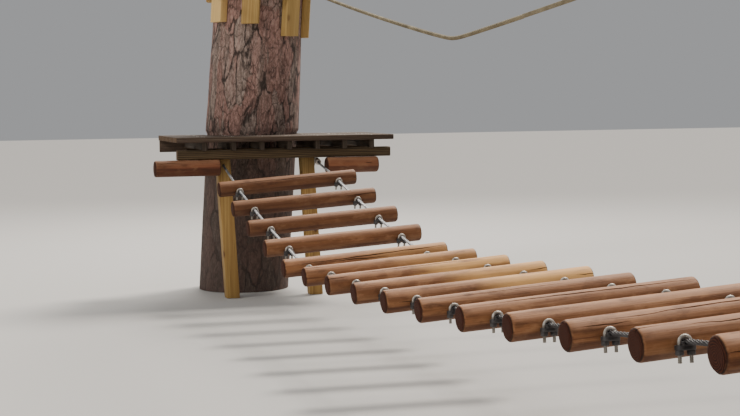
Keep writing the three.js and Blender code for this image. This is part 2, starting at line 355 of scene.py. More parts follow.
def woodMaterial(name, look):
    material, shader, start = newMaterial(name)
    place = attribute(start, "grainPlace", out=1)
    seed = attribute(start, "grainSeed")
    x, y, z = place.parts()
    fine = place.stretched(*look["fine"]).noise(5.0, 0.65, seed)
    streak = place.stretched(*look["streak"]).noise(3.0, 0.6, seed + 7.0)
    patch = place.stretched(*look["patch"]).noise(2.0, 0.5, seed + 13.0)
    pithX = x - look["pith"][0]
    pithZ = z - look["pith"][1]
    radius = (pithX * pithX + pithZ * pithZ) ** 0.5
    rings = ((radius + streak * look["ringWander"]) * (fullTurn / look["ringGap"])).wave()
    normal = facing(start)
    atEnd = normal[look["endAxis"]].size().span(*look["endSpan"])

    tone = streak * streakShare + fine * fineShare + rings * look["ringTone"]
    colour = tone.span(look["toneLow"], look["toneHigh"]).ramp(*look["tones"])
    colour = colour.towards(look["patchColour"], patch.span(*woodSpans["patch"]) * look["patchAmount"])
    rough = (streak * 0.6 + fine * 0.6).span(*woodSpans["weather"])
    weather = normal[2].span(*woodSpans["faceUp"]) * rough
    colour = colour.towards(look["weatherColour"], weather * look["weather"])
    # Painted sunlight: a face the sun lights is painted paler, by a share stored on each vertex
    if "bleach" in look:
        colour = colour.towards(look["bleach"], attribute(start, "bleached"))
    # Painted shade: darkened high along the grain, where the platform shades the posts
    if "platformShade" in look:
        colour = colour.towards(look["platformShade"], y.span(*woodSpans["platformShade"]) * shadeUnderPlatformShare)
    if look["knots"]:
        spot = (x + z).vectorWith(y, *knotSpacing, seed)
        near = spot.node('ShaderNodeTexVoronoi', {"voronoi_dimensions": '2D'},
                         {"Vector": spot, "Scale": 1.0})
        knot = (near + fine * 0.03).span(*woodSpans["knot"])
        halo = (near + streak * 0.08).span(*woodSpans["halo"])
        colour = colour.towards(look["knotColour"], (knot * 0.85 + halo * 0.25) * look["knots"])
    endTone = (rings * 0.5 + fine * 0.5).span(*woodSpans["endTone"])
    colour = colour.towards(endTone.ramp(*look["endTones"]), atEnd)
    height = fine * 0.6 + streak * 0.5 + rings * look["ringRelief"]
    roughness = (fine * 0.3 + atEnd * 0.3 + look["roughness"] - 0.15).limit()
    shader.inputs["Specular IOR Level"].default_value = woodSpecular
    dress(shader, colour, roughness, height, look["relief"])
    return material, shader, colour, place


# Logs add painted sunlight on some ends, painted shade on undersides and on logs that stood in shade, dark
# mottling and dark checks
logSpans = {
    "side": (0.9, 0.6), "sunPatches": (0.25, 0.50),
    "pale": (0.50, 0.66), "dark": (0.46, 0.32),
    "under": (0.15, -0.75), "stain": (0.95, 0.2, 0.7, 1.0),
}
crackDepths = (0.0012, 0.004)           # under the surface, where the dark of a check starts and is full


def logMaterial(name, look, radius):
    material, shader, colour, place = woodMaterial(name, look)
    x, _, z = place.parts()
    seed = attribute(colour, "grainSeed")
    _, normalY, normalZ = facing(colour)
    onSide = normalY.size().span(*logSpans["side"])
    sunPatches = place.stretched(*look["sunPatchScale"]).noise(3.0, 0.6, seed + 3.0)
    mottle = place.stretched(*look["mottling"]).noise(4.0, 0.65, seed + 19.0)
    colour = colour.towards(look["paleColour"], mottle.span(*logSpans["pale"]) * onSide * look["mottle"])
    colour = colour.towards(look["darkMottleAndShadeColour"], mottle.span(*logSpans["dark"]) * onSide * look["mottle"])
    # Painted sunlight: the right ends of some logs are painted bright orange, in patches
    sunOnEnd = attribute(colour, "bareEnd") * sunPatches.span(*logSpans["sunPatches"])
    colour = colour.towards(look["endSunColour"], sunOnEnd * onSide * 0.9)
    # Painted shade: the lower sides of a log are darkened
    under = normalZ.span(*logSpans["under"])
    colour = colour.towards(look["darkMottleAndShadeColour"], under * look["under"] * onSide)
    # Painted shade on whole logs that stood in shade: full on lower faces, less on top
    stain = normalZ.span(*logSpans["stain"])
    colour = colour.towards(look["darkMottleAndShadeColour"], attribute(colour, "darker") * stain)
    fromAxis = (x * x + z * z) ** 0.5
    inCrack = fromAxis.span(*[radius - depth for depth in crackDepths]) * onSide
    colour = colour.towards(look["crackColour"], inCrack)
    colour.tree.links.new(colour.socket, shader.inputs["Base Color"])
    return material


def steelMaterial(name, look):
    material, shader, start = newMaterial(name, metallic=look["metallic"])
    place = start.node('ShaderNodeTexCoord', {}, {}, out=3)
    blotch = place.noise(3.0, 0.6, scale=look["blotchScale"])
    grimeAndShade = place.noise(5.0, 0.7, scale=look["grimeScale"])
    colour = blotch.span(0.3, 0.7).ramp(*look["tones"])
    colour = colour.towards(look["grimeColour"], grimeAndShade.span(0.5, 0.75) * look["grimeAndShade"])
    # Painted shade: parts marked on their vertices are darkened
    colour = colour.towards(look["metalShadeColour"], attribute(start, "fouled") * look["metalShadeAmount"])
    roughness = (grimeAndShade * 0.35 + look["roughness"] - 0.15).limit()
    dress(shader, colour, roughness, grimeAndShade, look["relief"])
    return material


def fibreMaterial(name, look):
    material, shader, start = newMaterial(name)
    place = start.node('ShaderNodeTexCoord', {}, {}, out=3)
    fuzz = place.noise(4.0, 0.7, scale=look["fuzzScale"])
    soil = place.noise(3.0, 0.6, scale=look["soilScale"])
    colour = (fuzz * 0.6 + soil * 0.5).span(0.35, 0.75).ramp(*look["tones"])
    dress(shader, colour, look["roughness"], fuzz, look["relief"])
    return material


# Camera, light and floor

cameraPlace = {
    "location": (-4.9259, 1.8034, 1.0691),
    "heading": -16.363,         # degrees from +X towards +Y
    "down": 4.125,
    "lean": -0.659,
    "lens": 72.99,
}


def setCamera(look):
    heading, down, lean = (math.radians(look[key]) for key in ("heading", "down", "lean"))
    forward = Vector((math.cos(down) * math.cos(heading), math.cos(down) * math.sin(heading),
                      -math.sin(down)))
    level = Vector((math.sin(heading), -math.cos(heading), 0))
    upright = level.cross(forward)
    right = math.cos(lean) * level + math.sin(lean) * upright
    up = -math.sin(lean) * level + math.cos(lean) * upright
    bpy.ops.object.camera_add(location=look["location"])
    camera = bpy.context.active_object
    turn = Matrix((right, up, -forward)).transposed()
    camera.rotation_euler = turn.to_euler()
    camera.data.sensor_width = 36
    camera.data.lens = look["lens"]
    camera.data.clip_end = 200
    bpy.context.scene.camera = camera


studio = {
    "floor": (0.50, 0.49, 0.475),
    "sky": (0.82, 0.83, 0.85),
    "skyStrength": 0.42,
    "sun": {"from": (3.0, -4.5, 7.2), "strength": 3.9, "spread": 14, "colour": (1.0, 0.93, 0.84)},
    "lamps": [
        # name, place, aimed at, watts, colour, size
        ("backLamp", (7.5, -1.5, 5.5), (1.0, 0.0, 0.6), 420, (1.0, 0.95, 0.88), 3.0),
        ("sideLamp", (0.5, 6.5, 5.5), (3.4, 0.0, 1.6), 240, (1.0, 0.95, 0.86), 1.5),
        ("fillLamp", (-6.5, 4.0, 3.5), (0.0, 0.0, 0.8), 60, (0.94, 0.97, 1.0), 4.0),
    ],
}


def addLamp(kind, name, place, aim, strength, colour):
    bpy.ops.object.light_add(type=kind, location=place)
    lamp = bpy.context.active_object
    lamp.name = name
    lamp.data.energy = strength
    lamp.data.color = colour
    lamp.rotation_euler = (Vector(aim) - Vector(place)).to_track_quat('-Z', 'Y').to_euler()
    return lamp.data


def setStudio(look):
    floor = add("studioFloor", bpy.ops.mesh.primitive_plane_add, size=80, location=(0, 0, -0.001))
    material, shader, _ = newMaterial("paleFloor")
    shader.inputs["Base Color"].default_value = (*look["floor"], 1)
    shader.inputs["Roughness"].default_value = 0.9
    floor.data.materials.append(material)
    world = bpy.data.worlds.new("studioSky")
    world.use_nodes = True
    backdrop = world.node_tree.nodes["Background"]
    backdrop.inputs["Color"].default_value = (*look["sky"], 1)
    backdrop.inputs["Strength"].default_value = look["skyStrength"]
    bpy.context.scene.world = world
    sun = look["sun"]
    lamp = addLamp('SUN', "keySun", sun["from"], (0, 0, 0), sun["strength"], sun["colour"])
    lamp.angle = math.radians(sun["spread"])
    for *facts, size in look["lamps"]:
        addLamp('AREA', *facts).size = size


setCamera(cameraPlace)
setStudio(studio)
print("camera and studio are set")


# Places read from the frame, and the few that its boxes don't give

def middleOf(node):
    low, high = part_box(node)
    return (low + high) / 2


treadNodes = sorted(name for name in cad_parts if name.startswith("tread_"))
treadCentres = [middleOf(name) for name in treadNodes]
treadLength = 0.740
treadTilt = 0.0683              # radians: the walkway hangs with its left side down
footRopeReach = 0.266           # along a tread, from its middle
footRopeY = footRopeReach * math.cos(treadTilt)
footRopeDip = footRopeReach * math.sin(treadTilt)
straightHalf = 0.075
guidePoint = middleOf("far_rope_guide")
ropeRestZ = 0.756
guideShift = 0.012              # both foot ropes move over this far on their way to the front posts
poleX = 3.532
poleLean = -0.07                # sideways for each metre up
poleLevelZ = 1.185              # where the pole's middle crosses the walkway's


bothSides = (("left", 1), ("right", -1))


def poleY(z):
    return poleLean * (z - poleLevelZ)


def footLine(side):
    y = side * footRopeY
    middles = [Vector((c.x, y, c.z - side * footRopeDip)) for c in treadCentres]
    stations = [Vector((guidePoint.x, y, guidePoint.z)), *middles, Vector((-guidePoint.x, y, guidePoint.z))]
    lines = [(stations[i] - stations[i + 2]).normalized() for i in range(len(middles))]
    return middles, lines


# Treads

treadLook = {
    "radius": 0.040, "sides": 56, "cuts": 44, "arris": 0.0105, "bore": 0.0085,
    "insets": (0.20, 0.24, 0.28),           # rings on an end face, as shares of the radius
    "ridge": 0.0005, "swell": 0.0009,
    "endZone": 0.030,           # moves whole when a log is longer or shorter
    "longer": {8: 0.016, 9: -0.006, 10: 0.020},                 # how much further the right end reaches
    "shorter": {10: 0.004, 11: 0.005, 12: 0.007, 13: 0.010},    # how much less far the left end reaches
    "sunPaintedEnds": {6: 0.9, 7: 0.8, 8: 1.0, 4: 0.3, 5: 0.35},      # painted sunlight on the logs' right ends
    "endSunFrom": 0.06, "endSunFade": 0.16,
    "darker": {0: 0.55, 1: 0.56, 2: 0.45, 3: 0.30, 13: 0.15, 15: 0.2},      # painted shade on logs that stood in shade
    "longChecks": (0, 4, 6, 10, 12),
    "seed": 11,
}

treadWood = {
    "fine": (330, 9, 330), "streak": (60, 2.2, 60), "patch": (10, 3.0, 10),
    "pith": (0.004, -0.003), "ringGap": 0.0052, "ringWander": 0.010, "ringTone": 0.16, "ringRelief": 0.15,
    "toneLow": 0.26, "toneHigh": 0.76,
    "tones": [(0.0, (0.090, 0.031, 0.013)), (0.3, (0.19, 0.072, 0.028)), (0.65, (0.32, 0.135, 0.053)),
              (1.0, (0.48, 0.23, 0.095))],
    "patchColour": (0.17, 0.066, 0.028), "patchAmount": 0.6,
    "weatherColour": (0.52, 0.280, 0.158), "weather": 0.75,
    # The end tones are the end grain's own dark colour; this span reaches onto the bevels, where they paint
    # shade
    "endAxis": 1, "endSpan": (0.35, 0.85),
    "endTones": [(0.0, (0.020, 0.004, 0.001)), (0.6, (0.042, 0.009, 0.003)), (1.0, (0.080, 0.021, 0.008))],
    "knots": 0.45, "knotColour": (0.10, 0.035, 0.014),
    "roughness": 0.62, "relief": 0.0018,
    # On this line, the bright orange is painted sunlight for some right ends, broken up by the patch scale
    "sunPatchScale": (30, 5, 30), "endSunColour": (0.90, 0.50, 0.18), "crackColour": (0.018, 0.008, 0.005),
    "mottling": (24, 11, 24), "mottle": 0.38, "paleColour": (0.60, 0.310, 0.150),
    # The dark colour on this line serves dark mottling and painted shade on undersides and shaded logs
    "darkMottleAndShadeColour": (0.055, 0.020, 0.010), "under": 0.60,
}


def turnedLog(name, length, look):
    log = roundBar(name, look["radius"], length, turned=alongY, sides=look["sides"])
    lengthwise = runsAlong(log, 1)

    def longEdge(edge):
        a, b = edgeEnds(log, edge)
        return lengthwise(edge) and (a - b).length > length / 2

    edit(log, 'EDGE', lambda edge: not lengthwise(edge), bpy.ops.mesh.bevel,
         offset=look["arris"], segments=3, affect='EDGES')
    edit(log, 'FACE', lambda face: abs(face.normal.y) > 0.99, insetSteps,
         steps=[look["radius"] * share for share in look["insets"]])
    edit(log, 'EDGE', longEdge, bpy.ops.mesh.subdivide, number_cuts=look["cuts"])
    return log


# Drying checks: a long one, those on the sides and those at the ends of a log
checkLook = {
    "long": {"length": (0.9, 1.15), "middle": (-0.1, 0.0), "turn": (105, 150),
             "width": (0.0024, 0.0040), "depth": 0.014},
    "side": {"count": (3, 4, 4, 5), "length": (0.16, 0.56), "middle": (-0.4, 0.4),
             "width": (0.0014, 0.0036), "depth": (0.006, 0.012)},
    "end": {"length": (0.1, 0.26), "middle": 0.485, "width": (0.0012, 0.0026), "depth": (0.010, 0.022)},
    "cuts": 18, "drift": 0.014, "tip": 0.04, "rise": 0.004,
    "crooks": ((0.004, 14), (0.002, 45)),       # how far it strays, and how often in a metre
    "mouth": 1.3, "foot": 0.15,                 # widths at the surface and at the bottom
}


# A check is cut by a thin crooked wedge, and place says where on the piece each of its points goes
def checkCutter(length, width, depth, draw, place):
    cutter = block("checkCutter", (-0.5, -0.5, -0.5), (0.5, 0.5, 0.5))
    edit(cutter, 'EDGE', runsAlong(cutter, 1), bpy.ops.mesh.subdivide, number_cuts=checkLook["cuts"])
    drift = draw.uniform(-checkLook["drift"], checkLook["drift"])
    seed = draw.uniform(0, 50)
    (sweep, slow), (shiver, quick) = checkLook["crooks"]
    for vertex in cutter.data.vertices:
        run = vertex.co.y * 2
        along = run * length / 2
        taper = max(checkLook["tip"], 1 - abs(run) ** 2.2)
        crook = (sweep * noise.noise((seed, along * slow, 0))
                 + shiver * noise.noise((seed, along * quick, 3)))
        half = width * taper * (0.7 + 0.6 * noise.noise((seed, along * 30, 7)) + 0.3) / 2
        outside = vertex.co.z > 0
        side = 1 if vertex.co.x > 0 else -1
        across = drift * run * length + crook + side * half * checkLook["mouth" if outside else "foot"]
        vertex.co = place(along, across, checkLook["rise"] if outside else -depth * taper)
    faceOutward(cutter)
    return cutter


def onLog(radius, middle, angle):
    def place(along, across, rise):
        turn = angle + across / radius
        return ((radius + rise) * math.cos(turn), middle + along, (radius + rise) * math.sin(turn))
    return place


def roughen(log, seed, look):
    broadScale, fineScale = (2.6, 2.5), (9, 5)      # around and along
    for vertex in log.data.vertices:
        x, y, z = vertex.co
        away = math.hypot(x, z)
        if away < look["radius"] * 0.6:
            continue
        turn = math.atan2(z, x)
        broad, fine = [noise.noise((math.cos(turn) * around, y * along, math.sin(turn) * around + seed))
                       for around, along in (broadScale, fineScale)]
        push = look["ridge"] * fine + look["swell"] * broad - look["ridge"]
        vertex.co.x += push * x / away
        vertex.co.z += push * z / away


def weatherLog(log, length, look, draw, longCheck):
    def anyOf(kind, key):
        return draw.uniform(*checkLook[kind][key])

    checks = []
    if longCheck:
        checks.append((length * anyOf("long", "length"), anyOf("long", "middle"),
                       math.radians(anyOf("long", "turn")),
                       anyOf("long", "width"), checkLook["long"]["depth"]))
    for _ in range(draw.choice(checkLook["side"]["count"])):
        checks.append((length * anyOf("side", "length"), length * anyOf("side", "middle"),
                       draw.uniform(0, fullTurn), anyOf("side", "width"), anyOf("side", "depth")))
    for end in (-1, 1):
        checks.append((length * anyOf("end", "length"), end * checkLook["end"]["middle"] * length,
                       draw.uniform(0, fullTurn), anyOf("end", "width"), anyOf("end", "depth")))
    cutAway(log, *[checkCutter(reach, width, depth, draw, onLog(look["radius"], middle, angle))
                   for reach, middle, angle, width, depth in checks])
    smooth(log, 40)


def makeTreads(look, material):
    draw = random.Random(look["seed"])
    pattern = turnedLog("treadPattern", treadLength, look)
    cutAway(pattern, *[roundBar("boreCutter", look["bore"], 0.2, (0, side * footRopeReach, 0), alongX)
                       for side in (1, -1)])
    lines = footLine(1)[1]
    for i, node in enumerate(treadNodes):
        log = copyOf(pattern, f"log{i + 1:02d}")
        for side, key in ((-1, "longer"), (1, "shorter")):
            if i in look[key]:
                edit(log, 'VERT', lambda v: side * v.co.y > treadLength / 2 - look["endZone"],
                     bpy.ops.transform.translate, value=(0, -look[key][i], 0))
        seed = draw.uniform(0, 40)
        roughen(log, seed, look)
        weatherLog(log, treadLength, look, draw, i in look["longChecks"])
        # How much painted sunlight this log's right end gets
        sunOnEnd = look["sunPaintedEnds"].get(i, 0.0)
        storeGrain(log, seed, along=1, darker=look["darker"].get(i, 0.0),
                   bareEnd=lambda co: sunOnEnd * fraction((look["endSunFrom"] - co.y) / look["endSunFade"]))
        climb = math.atan2(lines[i].z, lines[i].x)
        log.matrix_world = (Matrix.Translation(treadCentres[i]) @ Matrix.Rotation(-treadTilt, 4, 'X')
                            @ Matrix.Rotation(-climb, 4, 'Y'))
        applyPlace(log)
        finishPiece(log, material, node)
    bpy.data.objects.remove(pattern)


makeTreads(treadLook, logMaterial("stainedLog", treadWood, treadLook["radius"]))
print("treads are cut and checked")


# Ropes: a lobed section swept along the route and turned as it goes

def lobedSection(name, radius, lobes, perLobe, hollow):
    count = lobes * perLobe
    section, _, line = newCurve(name, '2D', count)
    for i in range(count):
        turn = fullTurn * i / count
        reach = radius * (1 - hollow * abs(math.cos(turn * lobes / 2)) ** 3)
        line.points[i].co = (reach * math.cos(turn), reach * math.sin(turn), 0, 1)
    line.use_cyclic_u = True
    return section


def evenSteps(route, step):
    placed = [route[0].copy()]
    spare = 0.0
    for start, end in zip(route, route[1:]):
        length = (end - start).length
        run = step - spare
        while run < length:
            placed.append(start.lerp(end, run / length))
            run += step
        spare = length - (run - step)
    shortest = step * 0.3           # a shorter last step is joined to the one before
    if (placed[-1] - route[-1]).length > shortest:
        placed.append(route[-1].copy())
    else:
        placed[-1] = route[-1].copy()
    return placed


def laidRope(name, route, look):
    section = lobedSection(name + "Section", look["radius"], look["lobes"], look["perLobe"], look["hollow"])
    points = evenSteps(route, look["step"])
    rope, shape, line = newCurve(name, '3D', len(points))
    shape.twist_mode = 'Z_UP'
    shape.use_fill_caps = True
    shape.bevel_mode = 'OBJECT'
    shape.bevel_object = section
    run = 0.0
    for i, point in enumerate(points):
        if i:
            run += (point - points[i - 1]).length
        line.points[i].co = (*point, 1)
        line.points[i].tilt = fullTurn * run / look["lay"]
    takeUp(rope)
    bpy.ops.object.convert(target='MESH')
    rope = newest(name)
    bpy.data.objects.remove(section)
    smooth(rope, 60)
    return rope


def poleTurn(radius, side, z, outward):
    steps, gap = 32, 0.0003         # the two halves of a turn stay this far from the middle
    points = []
    for i in range(steps + 1):
        turn = math.pi / 2 * i / steps
        points.append(Vector((outward * (poleX + radius * math.cos(turn)),
                              poleY(z) + side * max(radius * math.sin(turn), gap), z)))
    return points


wireRopeLook = {"radius": 0.0067, "lobes": 6, "perLobe": 3, "hollow": 0.30, "lay": 0.110, "step": 0.0055}
handRopeLook = {"radius": 0.0092, "lobes": 3, "perLobe": 6, "hollow": 0.30, "lay": 0.062, "step": 0.0040}

ropeSteelLook = {
    "metallic": 0.8, "blotchScale": 40, "grimeScale": 160,
    # The steel's own tones, raised to paint light on the far rope; its near end gets painted shade
    "tones": [(0.0, (0.24, 0.245, 0.26)), (1.0, (0.50, 0.50, 0.51))],
    "metalShadeColour": (0.032, 0.026, 0.025), "metalShadeAmount": 0.85,
    "grimeColour": (0.07, 0.065, 0.06), "grimeAndShade": 0.5, "roughness": 0.52, "relief": 0.0004,
}
zincLook = dict(ropeSteelLook, metallic=0.75, blotchScale=60, grimeScale=190,
                tones=[(0.0, (0.34, 0.31, 0.27)), (1.0, (0.62, 0.58, 0.53))],
                metalShadeColour=(0.085, 0.072, 0.058), grimeColour=(0.17, 0.14, 0.10), grimeAndShade=0.6, roughness=0.48)
fibreLook = {
    "fuzzScale": 420, "soilScale": 9,
    "tones": [(0.0, (0.095, 0.075, 0.042)), (0.5, (0.19, 0.153, 0.090)), (1.0, (0.31, 0.265, 0.170))],
    "roughness": 0.85, "relief": 0.0006,
}
ropeSteel = steelMaterial("wireRopeSteel", ropeSteelLook)
zinc = steelMaterial("galvanisedZinc", zincLook)
fibre = fibreMaterial("ropeFibre", fibreLook)


def footRopeEnd(first, y, outward):
    slope = (guidePoint.z - first.z) / (guidePoint.x - abs(first.x))
    route = poleTurn(footRopeY, math.copysign(1, y), ropeRestZ, outward)
    for x, z in ((guidePoint.x + (ropeRestZ - guidePoint.z) / slope, ropeRestZ),
                 (guidePoint.x - straightHalf, guidePoint.z - slope * straightHalf)):
        route.append(Vector((outward * x, y + guideShift, z)))
    return route


def footRoute(side):
    middles, lines = footLine(side)
    route = footRopeEnd(middles[0], middles[0].y, 1)
    for middle, line in zip(middles, lines):
        route.append(middle + line * straightHalf)
        route.append(middle - line * straightHalf)
    route.extend(reversed(footRopeEnd(middles[-1], middles[-1].y, -1)))
    return route


for word, side in bothSides:
    rope = laidRope(word + "WireRope", footRoute(side), wireRopeLook)
    storeNumbers(rope, "fouled", lambda co: fraction(0.80 - co.x * 0.5))    # painted shade, darker towards the near end
    finishPiece(rope, ropeSteel, "foot_rope_" + word)
print("foot ropes are laid")


# Hand ropes: one pulled down in use, the other in a shallow bow, both taken round the poles

handRopes = {
    "reach": 0.3099,            # sideways from the pole's middle
    "z": 1.690,
    "pulled": {"lowX": 1.090, "drop": 0.365, "slack": 0.87, "rounding": 0.080},
    "freeDrop": 0.150,
    "wrapPitch": 0.0190,
    "wraps": (-1, 1),
    "steps": 120,
}


def pulledDrop(x):
    look = handRopes["pulled"]
    reach = poleX - look["lowX"] if x > look["lowX"] else poleX + look["lowX"]

    def soften(run):
        return math.hypot(run, look["rounding"]) - look["rounding"]

    run = abs(x - look["lowX"])
    straight = soften(run) / soften(reach)
    return look["drop"] * (1 - look["slack"] * straight - (1 - look["slack"]) * (run / reach) ** 2)


def freeDrop(x):
    return handRopes["freeDrop"] * (1 - (x / poleX) ** 2)


def handRoute(side, drop):
    reach, z, steps = (handRopes[key] for key in ("reach", "z", "steps"))
    y = poleY(z) + side * reach
    span = [Vector((poleX - 2 * poleX * i / steps, y, 0)) for i in range(1, steps)]
    for point in span:
        point.z = z - drop(point.x)
    return [*poleTurn(reach, side, z, 1), *span, *reversed(poleTurn(reach, side, z, -1))]


def wrapRound(name, outward, z):
    half = [poleTurn(handRopes["reach"], side, z, outward) for side in (1, -1)]
    front = [[Vector((2 * outward * poleX - p.x, p.y, p.z)) for p in quarter] for quarter in half]
    return laidRope(name, [*half[0], *reversed(front[0]), *front[1], *reversed(half[1])], handRopeLook)


for word, side, drop in (("left", 1, freeDrop), ("right", -1, pulledDrop)):
    rope = laidRope(word + "HandRope", handRoute(side, drop), handRopeLook)
    finishPiece(rope, fibre, "hand_rope_" + word)
for word, outward in (("far", 1), ("near", -1)):
    turns = [wrapRound(f"{word}Wrap", outward, handRopes["z"] + step * handRopes["wrapPitch"])
             for step in handRopes["wraps"]]
    wraps = joinUp(word + "PoleWraps", turns)
    finishPiece(wraps, fibre, "hand_rope_left")
print("hand ropes are tied")


# Rope grips: U-bolt over the rope, saddle under it, two nuts

gripLook = {
    "offset": 0.0525,
    "rod": 0.0047, "halfWidth": 0.0140, "legEnd": -0.047,
    "archTop": 0.0067,          # underside of the arch over the rope's middle
    "thread": {"length": 0.024, "rings": 19, "core": 0.84},
    "saddle": {"across": 0.046, "along": 0.024, "bottom": -0.019, "height": 0.011, "corner": 0.008},
    "cheek": {"halfAcross": 0.0125, "rise": 0.002, "top": 0.001},
    "saddleArris": 0.0014, "groove": 0.0071,
    "nut": {"across": 0.0105, "height": 0.010, "arris": 0.0009},
    "grimeAndShade": {"most": 0.7, "above": 0.004, "fade": 0.016},      # painted shade on the legs; the arch is left lighter
}


def buildGrip(look):
    rod, reach, thread, saddle, cheek, nutLook, grimeAndShade = (
        look[key] for key in ("rod", "halfWidth", "thread", "saddle", "cheek", "nut", "grimeAndShade"))
    archZ = look["archTop"] + rod - reach
    arch = add("gripArch", bpy.ops.mesh.primitive_torus_add, major_segments=24, minor_segments=12,
               major_radius=reach, minor_radius=rod, location=(0, 0, archZ), rotation=alongX)
    applyPlace(arch)
    editAll(arch, bpy.ops.mesh.bisect, plane_co=(0, 0, archZ), plane_no=(0, 0, 1),
            clear_inner=True, use_fill=True)
    bolts, blocks = [arch], []
    for side in (1, -1):
        shank = roundBar("gripShank", rod, archZ - look["legEnd"],
                         (0, side * reach, (archZ + look["legEnd"]) / 2), sides=12)
        edit(shank, 'EDGE', runsAlong(shank, 2), bpy.ops.mesh.subdivide, number_cuts=thread["rings"])
        rings = sorted({round(v.co.z, 5) for v in shank.data.vertices})
        threaded = [z for z in rings if z < look["legEnd"] + thread["length"]]
        for ring in threaded[0::2]:
            edit(shank, 'VERT', lambda v: abs(v.co.z - ring) < 1e-4, bpy.ops.transform.resize,
                 value=(thread["core"], thread["core"], 1), center_override=(0, side * reach, ring))
        bolts.append(shank)
        nutTop = saddle["bottom"] - fitGap
        nut = roundBar("gripNut", nutLook["across"], nutLook["height"],
                       (0, side * reach, nutTop - nutLook["height"] / 2), sides=6)
        bevelEdges(nut, nutLook["arris"])
        blocks.append(nut)
    body = block("gripSaddle", (-saddle["along"] / 2, -saddle["across"] / 2, saddle["bottom"]),
                 (saddle["along"] / 2, saddle["across"] / 2, saddle["bottom"] + saddle["height"]))
    edit(body, 'EDGE', runsAlong(body, 2), bpy.ops.mesh.bevel,
         offset=saddle["corner"], segments=4, affect='EDGES')
    seatFoot = saddle["bottom"] + cheek["rise"]
    seat = block("gripCheek", (-saddle["along"] / 2, -cheek["halfAcross"], seatFoot),
                 (saddle["along"] / 2, cheek["halfAcross"], cheek["top"]))
    cutAway(seat, roundBar("grooveCutter", look["groove"], 0.06, turned=alongX, sides=20))
    for piece in (body, seat):
        bevelEdges(piece, look["saddleArris"])
        blocks.append(piece)
    bolt, body = joinUp("gripBolt", bolts), joinUp("gripBlock", blocks)
    # Painted shade: the legs are darkened below the arch, the saddle and nuts fully
    storeNumbers(bolt, "fouled", lambda co: fraction(
        min(grimeAndShade["most"], (archZ + grimeAndShade["above"] - co.z) / grimeAndShade["fade"])))
    storeNumbers(body, "fouled", 1.0)
    return bolt, body


def makeGrips(look):
    for pattern, kind, material in zip(buildGrip(look), ("Bolts", "Blocks"), (zinc, ropeSteel)):
        smooth(pattern, 38)
        for word, side in bothSides:
            grips = []
            for i, (middle, line) in enumerate(zip(*footLine(side))):
                grip = copyOf(pattern, f"{word}Grip{kind}{i + 1:02d}")
                grip.rotation_euler = (0, -math.atan2(line.z, line.x), 0)
                grip.location = middle - line * look["offset"]
                applyPlace(grip)
                grips.append(grip)
            joined = joinUp(f"{word}Grip{kind}", grips)
            finishPiece(joined, material, "foot_rope_" + word)
        bpy.data.objects.remove(pattern)


makeGrips(gripLook)
print("rope grips are clamped on")


# Platforms: everything is made for the far end, then copied and turned over for the near one

farPieces = []


def keepFar(piece, material, part, slot):
    farPieces.append((piece, material, part, slot))


def keepGrained(piece, seed, along, centre, material, part, slot):
    storeGrain(piece, seed, along, centre)
    keepFar(piece, material, part, slot)


headRound = 0.45                # of a bolt head's or screw head's height
sharpEdge = math.radians(50)   # only edges sharper than this are rounded


def boltHead(name, place, turned, radius, height, sides):
    head = roundBar(name, radius, height, place, turned, sides)
    bevelEdges(head, height * headRound, 3, angle_limit=sharpEdge)
    return head


# Deck boards lie across the walkway on battens that rest on the rim beam and the ledger
deckLook = {
    "boards": 5, "boardGap": 0.005, "thickness": 0.028, "arris": 0.0035, "cuts": 24,
    "notch": 0.269,             # round the pole
    "battens": 7, "firstBatten": 0.3875, "battenPitch": 0.155,
    "battenWidth": 0.028, "battenInset": 0.030, "battenArris": 0.0025,
    "cleat": {"width": 0.026, "thick": 0.010, "drop": 0.005, "slip": 0.004, "arris": 0.002,
              "rimGap": 0.0003, "topGap": 0.001},
    # A board that darkens the gap behind the rim, where there is shade
    "backBoard": {"thick": 0.021, "low": 0.785, "endGap": 0.004},
    "screw": {"radius": 0.0042, "height": 0.0022, "inset": 0.026, "margin": 0.012,
              "stray": (0.003, 0.004)},
    "warp": 0.0012,
    "bends": (3, 4, 9),         # how often the warp turns in a metre: sideways, up, up across the board
    "seed": 23,
}

# The deck's tones are its own weathered brown, kept dark to paint the shade on its edges
deckWood = {
    "fine": (300, 8, 300), "streak": (45, 1.8, 45), "patch": (6, 2.0, 6),
    "pith": (0.02, -0.14), "ringGap": 0.007, "ringWander": 0.014, "ringTone": 0.22, "ringRelief": 0.3,
    "toneLow": 0.28, "toneHigh": 0.75,
    "tones": [(0.0, (0.022, 0.013, 0.009)), (0.4, (0.048, 0.030, 0.021)), (0.75, (0.086, 0.057, 0.040)),
              (1.0, (0.14, 0.100, 0.072))],
    "patchColour": (0.075, 0.052, 0.030), "patchAmount": 0.5,
    "weatherColour": (0.100, 0.074, 0.055), "weather": 0.7,
    "endAxis": 1, "endSpan": (0.75, 0.95),
    "endTones": [(0.0, (0.050, 0.028, 0.016)), (0.6, (0.110, 0.066, 0.038)), (1.0, (0.18, 0.115, 0.068))],
    "knots": 0.8, "knotColour": (0.045, 0.026, 0.017),
    "roughness": 0.80, "relief": 0.0022,
}
battenWood = dict(deckWood, weather=0.3, endAxis=0,
                  tones=[(0.0, (0.024, 0.017, 0.011)), (0.4, (0.046, 0.033, 0.023)),
                         (0.75, (0.076, 0.057, 0.041)), (1.0, (0.115, 0.090, 0.067))],
                  endTones=[(0.0, (0.032, 0.023, 0.017)), (0.6, (0.064, 0.049, 0.036)),
                            (1.0, (0.10, 0.080, 0.062))])


# Where a foot rope passes its post, and the turn that lays a bore along it
def ropeAtGuide(side):
    first = footLine(side)[0][0]
    slope = (guidePoint.z - first.z) / (guidePoint.x - first.x)
    spot = (guidePoint.x, guideShift + side * footRopeY, guidePoint.z)
    return spot, (0, math.pi / 2 - math.atan(slope), 0)


def notchCutter(look, z):
    return roundBar("notchCutter", look["notch"], 0.2, (poleX, poleY(z - 0.02), z), sides=96)


